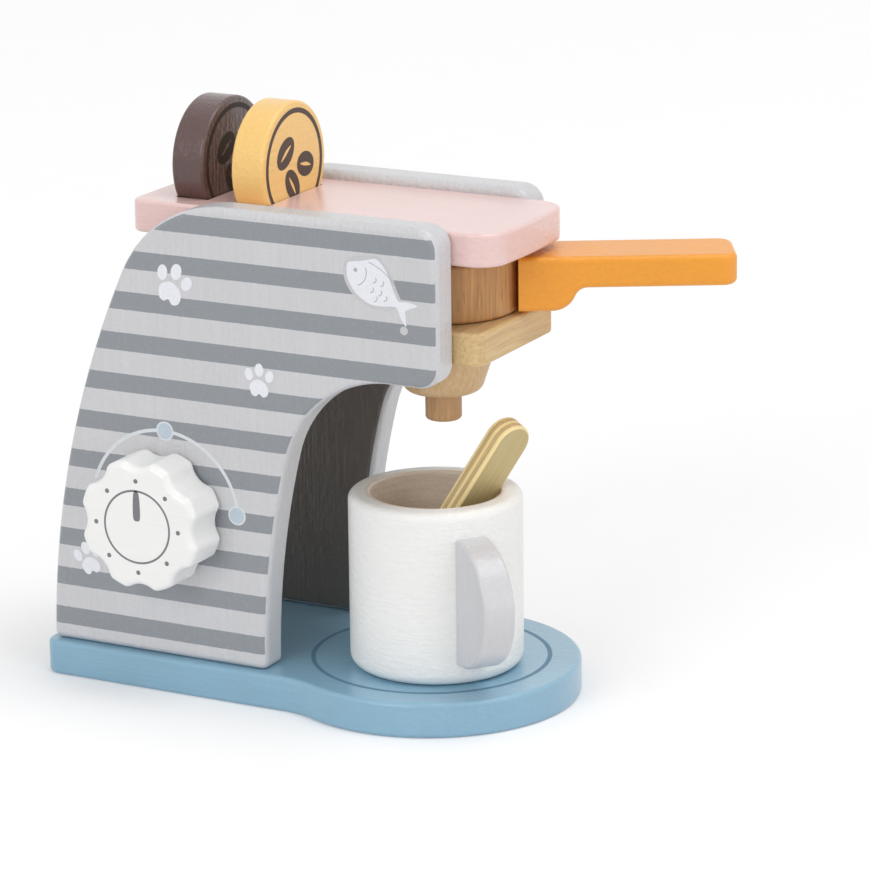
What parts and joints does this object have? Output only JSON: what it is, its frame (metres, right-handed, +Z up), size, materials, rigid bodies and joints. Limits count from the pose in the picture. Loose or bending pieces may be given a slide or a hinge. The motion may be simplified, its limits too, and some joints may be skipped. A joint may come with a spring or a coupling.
{
  "type": "toy coffee maker",
  "caption": "Wooden play coffee maker: striped housing with turning knob, swinging portafilter, two lift-out pods, and a loose cup and spoon.",
  "frame": {"origin": "underside of the base board, on the centre plane, at half the board's length", "axes": "+X forwards, the way the portafilter handle points; +Y to the side away from the knob; +Z up"},
  "size_m": [0.219, 0.1133, 0.1953],
  "materials": {
    "blue_paint": "light blue satin paint",
    "steel": "zinc-plated screws",
    "grey_paint": "light grey satin paint, printed on one side",
    "pink_paint": "pale pink satin paint",
    "dowel_wood": "bare turned dowel",
    "plain_wood": "clear satin varnish",
    "brown_paint": "dark brown satin paint",
    "yellow_paint": "pale yellow satin paint",
    "dark_wood": "clear satin varnish",
    "orange_paint": "orange satin paint",
    "white_paint": "white satin paint",
    "light_grey_paint": "grey satin paint",
    "plywood": "bare plywood with visible plies"
  },
  "bodies": {
    "machine": {"base_board": "blue_paint", "base_screws": "steel", "left_side_panel": "grey_paint", "right_side_panel": "grey_paint", "top_board": "pink_paint", "top_board_dowels": "dowel_wood", "brew_head_block": "plain_wood", "block_dowels": "dowel_wood", "brew_head_bowl": "plain_wood", "spout_dowel": "dowel_wood", "portafilter_pivot_dowel": "dowel_wood"},
    "dial": {"dial_knob": "white_paint", "knob_axle": "dowel_wood", "knob_retainer": "plain_wood"},
    "portafilter": {"portafilter_basket": "dark_wood", "portafilter_handle": "orange_paint", "portafilter_handle_dowel": "dowel_wood"},
    "rear_pod": {"pod_dark": "brown_paint"},
    "front_pod": {"pod_yellow": "yellow_paint"},
    "cup": {"cup_body": "white_paint", "cup_handle": "light_grey_paint", "cup_handle_dowels": "dowel_wood"},
    "spoon": {"spoon": "plywood"}
  },
  "joints": [
    {"name": "dial_turn", "type": "hinge", "parent": "machine", "child": "dial", "pos_m": [-0.0398, -0.04, 0.062], "axis": [0, -1, 0], "continuous": true},
    {"name": "portafilter_swing", "type": "hinge", "parent": "machine", "child": "portafilter", "pos_m": [0.0435, 0, 0.14], "axis": [0, 0, 1], "range_deg": [-62, 4]},
    {"name": "rear_pod_lift", "type": "slide", "parent": "machine", "child": "rear_pod", "axis": [0, 0, 1], "range_m": [0, 0.05]},
    {"name": "front_pod_lift", "type": "slide", "parent": "machine", "child": "front_pod", "axis": [0, 0, 1], "range_m": [0, 0.05]},
    {"name": "cup_slide", "type": "slide", "parent": "machine", "child": "cup", "axis": [1, 0, 0], "range_m": [0, 0.1]},
    {"name": "spoon_pull", "type": "slide", "parent": "cup", "child": "spoon", "axis": [0.4587, 0.2408, 0.8554], "range_m": [0, 0.03]}
  ]
}
